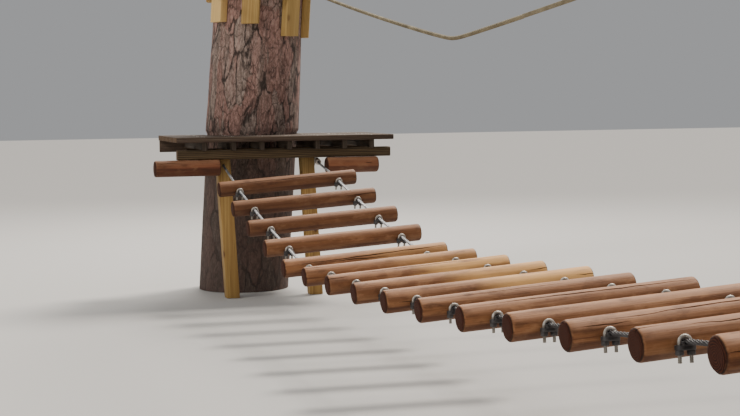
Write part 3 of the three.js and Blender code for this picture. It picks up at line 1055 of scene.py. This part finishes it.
def makeDeck(look):
    draw = random.Random(look["seed"])
    notch, warp, screw, cleat, backBoard = (
        look[key] for key in ("notch", "warp", "screw", "cleat", "backBoard"))
    low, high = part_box("far_deck")
    underside = high.z - look["thickness"]
    battenLines = [look["firstBatten"] - look["battenPitch"] * j for j in range(look["battens"])]
    boardMaterial = woodMaterial("weatheredDeck", deckWood)[0]
    battenMaterial = woodMaterial("greyBatten", battenWood)[0]
    width = (high.x - low.x + look["boardGap"]) / look["boards"]
    sideways, upAlong, upAcross = look["bends"]
    screws = []
    for i in range(look["boards"]):
        front = low.x + i * width
        back = front + width - look["boardGap"]
        board = block(f"deckBoard{i + 1}", (front, low.y, underside), (back, high.y, high.z))
        edit(board, 'EDGE', runsAlong(board, 1), bpy.ops.mesh.subdivide, number_cuts=look["cuts"])
        seed = draw.uniform(0, 60)
        for vertex in board.data.vertices:
            vertex.co.x += warp * noise.noise((vertex.co.y * sideways, seed, 0))
            if vertex.co.z > underside + 0.01:
                bend = noise.noise((vertex.co.y * upAlong, seed, vertex.co.x * upAcross))
                vertex.co.z += warp * (bend - 0.4)
        if back > poleX - notch:
            cutAway(board, notchCutter(look, high.z))
        bevelEdges(board, look["arris"], angle_limit=sharpEdge)
        smooth(board, 40)
        keepGrained(board, seed, 1, ((front + back) / 2, 0, underside), boardMaterial, "deck", "deck")
        for y in battenLines:
            for x in (front + screw["inset"], back - screw["inset"]):
                if math.hypot(x - poleX, y - poleY(high.z)) > notch + screw["margin"]:
                    strayX, strayY = [draw.uniform(-most, most) for most in screw["stray"]]
                    spot = (x + strayX, y + strayY, high.z - warp * 0.4)
                    screws.append(boltHead("deckScrew", spot, alongZ, screw["radius"], screw["height"], 8))
    keepFar(joinUp("deckScrews", screws), zinc, "deck", "wire_rope")

    # Painted shade: a dark board closes the deck's back, to darken the gap between deck and rim, which is in
    # shade
    closing = plank("deckBackBoard",
                    (high.x - backBoard["thick"] + fitGap, low.y + backBoard["endGap"], backBoard["low"]),
                    (high.x, high.y - backBoard["endGap"], underside - fitGap), look["arris"])
    cutAway(closing, notchCutter(look, high.z))
    smooth(closing, 40)
    keepGrained(closing, draw.uniform(0, 60), 1, (high.x, 0, underside), boardMaterial, "deck", "deck")

    rimLow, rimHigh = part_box("far_rim_beam")
    for j, y in enumerate(battenLines):
        half = look["battenWidth"] / 2
        batten = plank(f"batten{j + 1}", (low.x + look["battenInset"], y - half, low.z + fitGap),
                       (high.x - backBoard["thick"], y + half, underside - fitGap), look["battenArris"])
        if abs(y - poleY(high.z)) - half < notch:
            cutAway(batten, notchCutter(look, high.z))
        smooth(batten, 40)
        keepGrained(batten, draw.uniform(0, 60), 0, (0, y, low.z), battenMaterial, "deck", "deck")
        half = cleat["width"] / 2
        slip = draw.uniform(-cleat["slip"], cleat["slip"])
        peg = plank(f"battenCleat{j + 1}",
                    (rimLow.x - cleat["thick"], y - half + slip, rimHigh.z - cleat["drop"]),
                    (rimLow.x - cleat["rimGap"], y + half + slip, underside - cleat["topGap"]),
                    cleat["arris"])
        keepGrained(peg, draw.uniform(0, 60), 2, (rimLow.x, y, low.z), battenMaterial, "deck", "deck")


makeDeck(deckLook)
print("deck is laid")


# Rim beam, ledger and the two leaning front posts
frameLook = {
    "rimFrontArris": 0.009, "rimArris": 0.003,
    "ledgerArris": 0.004, "ledgerBolt": {"radius": 0.014, "height": 0.008, "apart": 0.030},
    "postArris": 0.004, "postBore": 0.0085,
    "checks": {"count": 2, "length": (0.15, 0.40), "width": (0.0010, 0.0018), "depth": (0.006, 0.012),
               "across": (-0.03, 0.03), "up": (0.12, 0.6)},
    "seed": 31,
}

# The rim's tones are its own brown, kept dark to paint the shade it stands in
rimWood = dict(deckWood, streak=(40, 1.6, 40), patch=(7, 2.0, 7), pith=(0.03, -0.06), ringGap=0.0065,
               ringTone=0.25, ringRelief=0.2, patchColour=(0.055, 0.036, 0.016),
               tones=[(0.0, (0.021, 0.012, 0.005)), (0.4, (0.044, 0.027, 0.012)),
                      (0.75, (0.076, 0.049, 0.023)), (1.0, (0.120, 0.082, 0.042))],
               weatherColour=(0.14, 0.105, 0.070), weather=0.6, knots=0.9,
               knotColour=(0.050, 0.022, 0.012), roughness=0.75, relief=0.0020)
postWood = {
    "fine": (320, 7, 320), "streak": (38, 1.3, 38), "patch": (6, 1.6, 6),
    "pith": (0.05, -0.03), "ringGap": 0.0075, "ringWander": 0.016, "ringTone": 0.14, "ringRelief": 0.10,
    "toneLow": 0.18, "toneHigh": 0.82,
    "tones": [(0.0, (0.19, 0.096, 0.028)), (0.35, (0.31, 0.176, 0.053)), (0.7, (0.41, 0.252, 0.081)),
              (1.0, (0.50, 0.330, 0.122))],
    "patchColour": (0.24, 0.170, 0.062), "patchAmount": 0.55,
    "weatherColour": (0.34, 0.26, 0.15), "weather": 0.3,
    "platformShade": (0.085, 0.062, 0.024),       # painted shade high on the posts, under the platform
    "endAxis": 2, "endSpan": (0.75, 0.95),
    "endTones": [(0.0, (0.26, 0.16, 0.065)), (0.6, (0.44, 0.29, 0.13)), (1.0, (0.58, 0.41, 0.20))],
    "knots": 1.0, "knotColour": (0.13, 0.055, 0.020),
    "roughness": 0.66, "relief": 0.0014,
}


def leaningPost(name, node, look):
    low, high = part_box(node)
    size = high.x - low.x
    lean = high.y - low.y - size
    post = block(name, low, (high.x, low.y + size, high.z))
    edit(post, 'FACE', lambda face: face.normal.z > 0.9, bpy.ops.transform.translate, value=(0, lean, 0))
    bevelEdges(post, look["postArris"], 3)

    def onFront(acrossMiddle, upMiddle):
        def place(along, across, rise):
            z = upMiddle + along
            y = low.y + size / 2 + acrossMiddle + lean * (z - low.z) / (high.z - low.z) + across
            return (low.x - rise, y, z)
        return place

    return post, low, size, lean, onFront


def makeFrame(look):
    draw = random.Random(look["seed"])
    rimMaterial = woodMaterial("brownRim", rimWood)[0]
    low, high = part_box("far_rim_beam")
    rim = block("rimBeam", low, high)
    lengthwise = runsAlong(rim, 1)
    edit(rim, 'EDGE', lambda edge: lengthwise(edge) and edgeEnds(rim, edge)[0].x < (low.x + high.x) / 2,
         bpy.ops.mesh.bevel, offset=look["rimFrontArris"], segments=4, affect='EDGES')
    bevelEdges(rim, look["rimArris"], angle_limit=math.radians(60))
    smooth(rim)
    keepGrained(rim, draw.uniform(0, 60), 1, (low + high) / 2, rimMaterial, "rim_beam", "rim")

    low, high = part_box("far_ledger")
    ledger = plank("ledgerBeam", low, high, look["ledgerArris"])
    smooth(ledger)
    keepGrained(ledger, draw.uniform(0, 60), 1, (low + high) / 2, rimMaterial, "ledger", "rim")
    bolt = look["ledgerBolt"]
    heads = [boltHead("ledgerBolt", (low.x - 0.002, side * bolt["apart"] / 2, (low.z + high.z) / 2),
                      alongX, bolt["radius"], bolt["height"], 6) for side in (-1, 1)]
    keepFar(joinUp("ledgerBolts", heads), zinc, "ledger", "wire_rope")

    postMaterial = woodMaterial("yellowPost", postWood)[0]
    ranges = [look["checks"][key] for key in ("length", "width", "depth", "across", "up")]
    for word in ("left", "right"):
        post, low, size, lean, onFront = leaningPost(word + "FrontPost", "far_front_post_" + word, look)
        if word == "left":
            spot, turned = ropeAtGuide(1)
            cutAway(post, roundBar("postBore", look["postBore"], 0.2, spot, turned))
        checks = [[draw.uniform(*limits) for limits in ranges] for _ in range(look["checks"]["count"])]
        cutAway(post, *[checkCutter(reach, width, depth, draw, onFront(across, up))
                        for reach, width, depth, across, up in checks])
        smooth(post)
        middle = (low.x + size / 2, low.y + size / 2 + lean / 2, 0)
        keepGrained(post, draw.uniform(0, 60), 2, middle, postMaterial, "front_post_" + word, "post")


makeFrame(frameLook)
print("rim, ledger and posts are up")


# Log stubs bolted up under the rim beam
stubLook = dict(treadLook, radius=0.044, cuts=22, seed=41)
stubWood = dict(treadWood, tones=[(0.0, (0.12, 0.036, 0.016)), (0.35, (0.27, 0.085, 0.038)),
                                  (0.7, (0.40, 0.140, 0.062)), (1.0, (0.52, 0.215, 0.095))])


def makeStubs(look):
    draw = random.Random(look["seed"])
    material = logMaterial("reddishLog", stubWood, look["radius"])
    for word in ("left", "right"):
        low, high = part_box("far_stub_" + word)
        stub = turnedLog(word + "Stub", high.y - low.y, look)
        seed = draw.uniform(0, 40)
        roughen(stub, seed, look)
        weatherLog(stub, high.y - low.y, look, draw, False)
        # The stubs get painted shade, as they hang in the deck's shade
        storeGrain(stub, seed, along=1, bareEnd=0.0, darker=0.5)
        stub.location = (low + high) / 2
        applyPlace(stub)
        keepFar(stub, material, "stub_" + word, "log")


makeStubs(stubLook)


# The guide that takes the right foot rope past its post: a plate, a sleeve and two bolts
guideLook = {
    "plate": 0.006, "plateArris": 0.0015,
    "back": 0.003,              # from the plate to the side of the node's box
    "web": 0.010, "webInset": 0.004, "webArris": 0.001,
    "sleeve": 0.0165, "sleeveArris": 0.002, "bore": 0.0078,
    "bolt": {"radius": 0.0075, "height": 0.006, "places": ((-0.013, 0.015), (0.013, -0.015))},
}


def makeGuide(look):
    low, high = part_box("far_rope_guide")
    spot, turned = ropeAtGuide(-1)
    inner = high.y - look["back"]
    inset, bolt = look["webInset"], look["bolt"]
    plate = plank("guidePlate", (low.x, inner - look["plate"], low.z), (high.x, inner, high.z),
                  look["plateArris"])
    web = plank("guideWeb", (low.x + inset, spot[1], guidePoint.z - look["web"] / 2),
                (high.x - inset, inner - look["plate"] / 2, guidePoint.z + look["web"] / 2), look["webArris"])
    sleeve = roundBar("guideSleeve", look["sleeve"], high.x - low.x, spot, turned, 32)
    bevelEdges(sleeve, look["sleeveArris"])
    for piece in (sleeve, web):
        cutAway(piece, roundBar("sleeveBore", look["bore"], 0.12, spot, turned))
    heads = [boltHead("guideBolt", (guidePoint.x + x, inner - look["plate"] - 0.002, guidePoint.z + z),
                      alongY, bolt["radius"], bolt["height"], 6) for x, z in bolt["places"]]
    guide = joinUp("ropeGuide", [plate, web, sleeve, *heads])
    smooth(guide)
    keepFar(guide, zinc, "rope_guide", "wire_rope")


makeGuide(guideLook)


# Pole: round timber with its bark on, and eight slats that keep the hand ropes off it
poleLook = {
    "radius": 0.2575, "topRadius": 0.252, "taperFrom": 1.200,
    "flare": 0.010,             # how much fuller it is just over the deck
    "flareFoot": 0.9, "flareTop": 1.45,
    "sides": 120, "cuts": 64, "arris": 0.012,
    "topInsets": (0.2, 0.2, 0.2, 0.2),      # shares of the top's radius
    "plateDepth": 0.0040, "plateScale": (5.5, 3.2),     # around and along
    "swell": 0.0030, "swellScale": (1.4, 1.6),
    "seed": 5.5,
}

barkLook = {
    "plates": (16, 4.8, 16), "scales": (42, 16, 42), "wander": 0.75, "jags": (80, 36, 80), "jag": 0.26,
    "crackWidth": (0.070, 0.008), "scaleWidth": (0.075, 0.010), "bendScale": (7, 4, 7),
    "flakes": (90, 34, 90), "grit": (260, 150, 260), "streaks": (26, 2.2, 26), "breaks": (15, 6, 15),
    "greys": [(0.0, (0.095, 0.067, 0.053)), (0.5, (0.207, 0.148, 0.122)), (1.0, (0.38, 0.293, 0.248))],
    "pinks": [(0.0, (0.110, 0.058, 0.046)), (0.5, (0.249, 0.135, 0.110)), (1.0, (0.40, 0.247, 0.207))],
    "crack": (0.020, 0.013, 0.010), "foot": (0.050, 0.034, 0.027), "footShadeAmount": 0.80,
    "footTop": 1.00, "footBottom": 0.66,      # painted shade: the bark darkens between these heights, under the deck
    "topTones": [(0.0, (0.20, 0.125, 0.070)), (0.5, (0.34, 0.235, 0.14)), (1.0, (0.46, 0.34, 0.22))],
    "ringGap": 0.011,
    "roughness": 0.88, "relief": 0.008,
}
barkSpans = {
    "breaks": (0.46, 0.58), "scaleBreaks": (0.62, 0.44),
    "tone": (0.40, 0.72), "pink": (0.38, 0.66), "top": (0.80, 0.95),
}


def barkMaterial(name, look):
    material, shader, start = newMaterial(name)
    place = attribute(start, "grainPlace", out=1)
    seed = attribute(start, "grainSeed")
    bend = place.stretched(*look["bendScale"]).noise(3.0, 0.6, seed, out=1)
    jag = place.stretched(*look["jags"]).noise(3.0, 0.65, seed + 31.0, out=1)
    warped = place.stretched(*look["plates"]).shifted(bend, look["wander"]).shifted(jag, look["jag"])
    edge = warped.cells('DISTANCE_TO_EDGE', seed)
    shade = warped.cells('F1', seed, out=1).parts()[0]
    scales = place.stretched(*look["scales"])
    scales = scales.shifted(bend, look["wander"] * 2.5).shifted(jag, look["jag"] * 2)
    scaleEdge = scales.cells('DISTANCE_TO_EDGE', seed)
    flake = place.stretched(*look["flakes"]).shifted(bend, 2.0).noise(4.0, 0.7, seed + 3.0)
    grit = place.stretched(*look["grit"]).noise(3.0, 0.6, seed + 9.0)
    streak = place.stretched(*look["streaks"]).noise(3.0, 0.6, seed + 15.0)
    breaks = place.stretched(*look["breaks"]).noise(2.0, 0.5, seed + 21.0)
    crack = edge.span(*look["crackWidth"]) * breaks.span(*barkSpans["breaks"])
    scaleCrack = scaleEdge.span(*look["scaleWidth"]) * breaks.span(*barkSpans["scaleBreaks"]) * 0.7
    tone = (flake * 0.70 + grit * 0.20 + streak * 0.25).span(*barkSpans["tone"])
    pinkShare = (shade * 0.35 + streak * 0.75).span(*barkSpans["pink"])
    colour = tone.ramp(*look["greys"]).towards(tone.ramp(*look["pinks"]), pinkShare)
    colour = colour.towards(look["crack"], (crack + scaleCrack).limit() * 0.9)
    x, y, z = place.parts()
    # Painted shade: the bark is darkened low down, where the deck shades it
    foot = (y + flake * 0.10).span(look["footTop"], look["footBottom"])
    colour = colour.towards(look["foot"], foot * look["footShadeAmount"])
    fromAxis = (x * x + z * z) ** 0.5
    rings = (fromAxis * (fullTurn / look["ringGap"]) + flake * 3.0).wave()
    onTop = facing(start)[2].span(*barkSpans["top"])
    colour = colour.towards((rings * 0.5 + grit * 0.5).ramp(*look["topTones"]), onTop)
    height = 0.75 - crack * 0.55 - scaleCrack * 0.25 + flake * 0.35 + grit * 0.08 + shade * 0.12
    height = height * (1 - onTop * 0.85)
    dress(shader, colour, look["roughness"], height, look["relief"])
    return material


def leanWithPole(piece):
    for vertex in piece.data.vertices:
        vertex.co.y += poleY(vertex.co.z)


def swellPole(pole, look):
    for vertex in pole.data.vertices:
        x, y, z = vertex.co
        away = math.hypot(x, y)
        if away < look["topRadius"] * 0.8:
            continue
        turn = math.atan2(y, x)
        broad, plate = [
            noise.noise((math.cos(turn) * around, math.sin(turn) * around + look["seed"], z * along))
            for around, along in (look["swellScale"], look["plateScale"])]
        push = look["swell"] * (broad - 0.5) - look["plateDepth"] * abs(plate)
        if z > look["flareFoot"]:
            fade = (z - look["flareFoot"]) / (look["flareTop"] - look["flareFoot"])
            push += look["flare"] * max(0, 1 - fade)
        vertex.co.x += push * x / away
        vertex.co.y += push * y / away


def makePole(look, material):
    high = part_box("far_pole")[1].z
    pole = roundBar("roundPole", look["radius"], high, (0, 0, high / 2), sides=look["sides"])

    def onTop(place):
        return place.z > high - 0.001

    def tall(edge):
        a, b = edgeEnds(pole, edge)
        return abs(a.z - b.z) > 0.3

    share = look["topRadius"] / look["radius"]
    editAll(pole, bpy.ops.mesh.bisect, plane_co=(0, 0, look["taperFrom"]), plane_no=(0, 0, 1))
    edit(pole, 'VERT', lambda v: onTop(v.co), bpy.ops.transform.resize,
         value=(share, share, 1), center_override=(0, 0, high))
    edit(pole, 'EDGE', lambda edge: all(map(onTop, edgeEnds(pole, edge))), bpy.ops.mesh.bevel,
         offset=look["arris"], segments=3, affect='EDGES')
    edit(pole, 'FACE', lambda face: face.normal.z > 0.99, insetSteps,
         steps=[look["topRadius"] * inset for inset in look["topInsets"]])
    edit(pole, 'EDGE', tall, bpy.ops.mesh.subdivide, number_cuts=look["cuts"])
    swellPole(pole, look)
    smooth(pole, 50)
    storeGrain(pole, look["seed"], along=2)
    leanWithPole(pole)
    pole.location = (poleX, 0, 0)
    applyPlace(pole)
    keepFar(pole, material, "pole", "pole")


slatLook = {
    "turns": [20.7, 65, 106, 150, 195, 240, 285, 330.2],    # degrees from the walkway
    "bottoms": [1.497, 1.512, 1.634, 1.493, 1.452, 1.480, 1.427, 1.429],
    "bleached": {1: 0.45},      # painted sunlight: slats painted paler than the others, as if lit
    "top": 1.890, "width": 0.095, "thick": 0.045, "arris": 0.0028,
    "face": 0.296,              # from the pole's middle
    "screws": {"under": (0.06, 0.11), "stray": 0.01, "radius": 0.005, "height": 0.003},
    "seed": 53,
}
# This look carries the colour of the painted sunlight on the slat that faces the sun
slatWood = dict(postWood, tones=[(0.0, (0.27, 0.150, 0.043)), (0.35, (0.38, 0.230, 0.072)),
                                 (0.7, (0.48, 0.310, 0.108)), (1.0, (0.60, 0.415, 0.165))],
                patchColour=(0.38, 0.27, 0.095), knots=0.5, streak=(46, 1.0, 46), bleach=(1.0, 0.70, 0.30))
del slatWood["platformShade"]


def makeSlats(look):
    draw = random.Random(look["seed"])
    material = woodMaterial("yellowSlat", slatWood)[0]
    half, screw = look["width"] / 2, look["screws"]
    for i, (turn, bottom) in enumerate(zip(look["turns"], look["bottoms"])):
        slat = plank(f"slat{i + 1}", (look["face"] - look["thick"], -half, bottom),
                     (look["face"], half, look["top"]), look["arris"], 3)
        smooth(slat)
        storeGrain(slat, draw.uniform(0, 60), along=2, centre=(look["face"], 0, bottom),
                   bleached=look["bleached"].get(i, 0.0))
        spots = [(look["face"], draw.uniform(-screw["stray"], screw["stray"]), look["top"] - drop)
                 for drop in screw["under"]]
        screws = joinUp(f"slatScrews{i + 1}", [
            boltHead("slatScrew", spot, alongX, screw["radius"], screw["height"], 10) for spot in spots])
        for piece in (slat, screws):
            piece.rotation_euler = (0, 0, math.pi - math.radians(turn))
            applyPlace(piece)
            leanWithPole(piece)
            piece.location = (poleX, 0, 0)
            applyPlace(piece)
        keepFar(slat, material, "pole", "post")
        keepFar(screws, zinc, "pole", "wire_rope")


makePole(poleLook, barkMaterial("barkedPole", barkLook))
makeSlats(slatLook)
print("poles and slats are up")


# The near platform's wood gets its grain from another place than the far one's
grainShift = 17.3


def turnOver(piece, name):
    twin = copyOf(piece, name)
    twin.scale = (-1, 1, 1)
    applyPlace(twin)
    faceOutward(twin)
    grain = twin.data.attributes.get("grainSeed")
    for value in grain.data if grain else ():
        value.value += grainShift
    return twin


for piece, material, part, slot in farPieces:
    twin = turnOver(piece, "near." + piece.name)
    piece.name = "far." + piece.name
    finishPiece(piece, material, "far_" + part)
    finishPiece(twin, material, "near_" + part)
print("near platform is turned over")
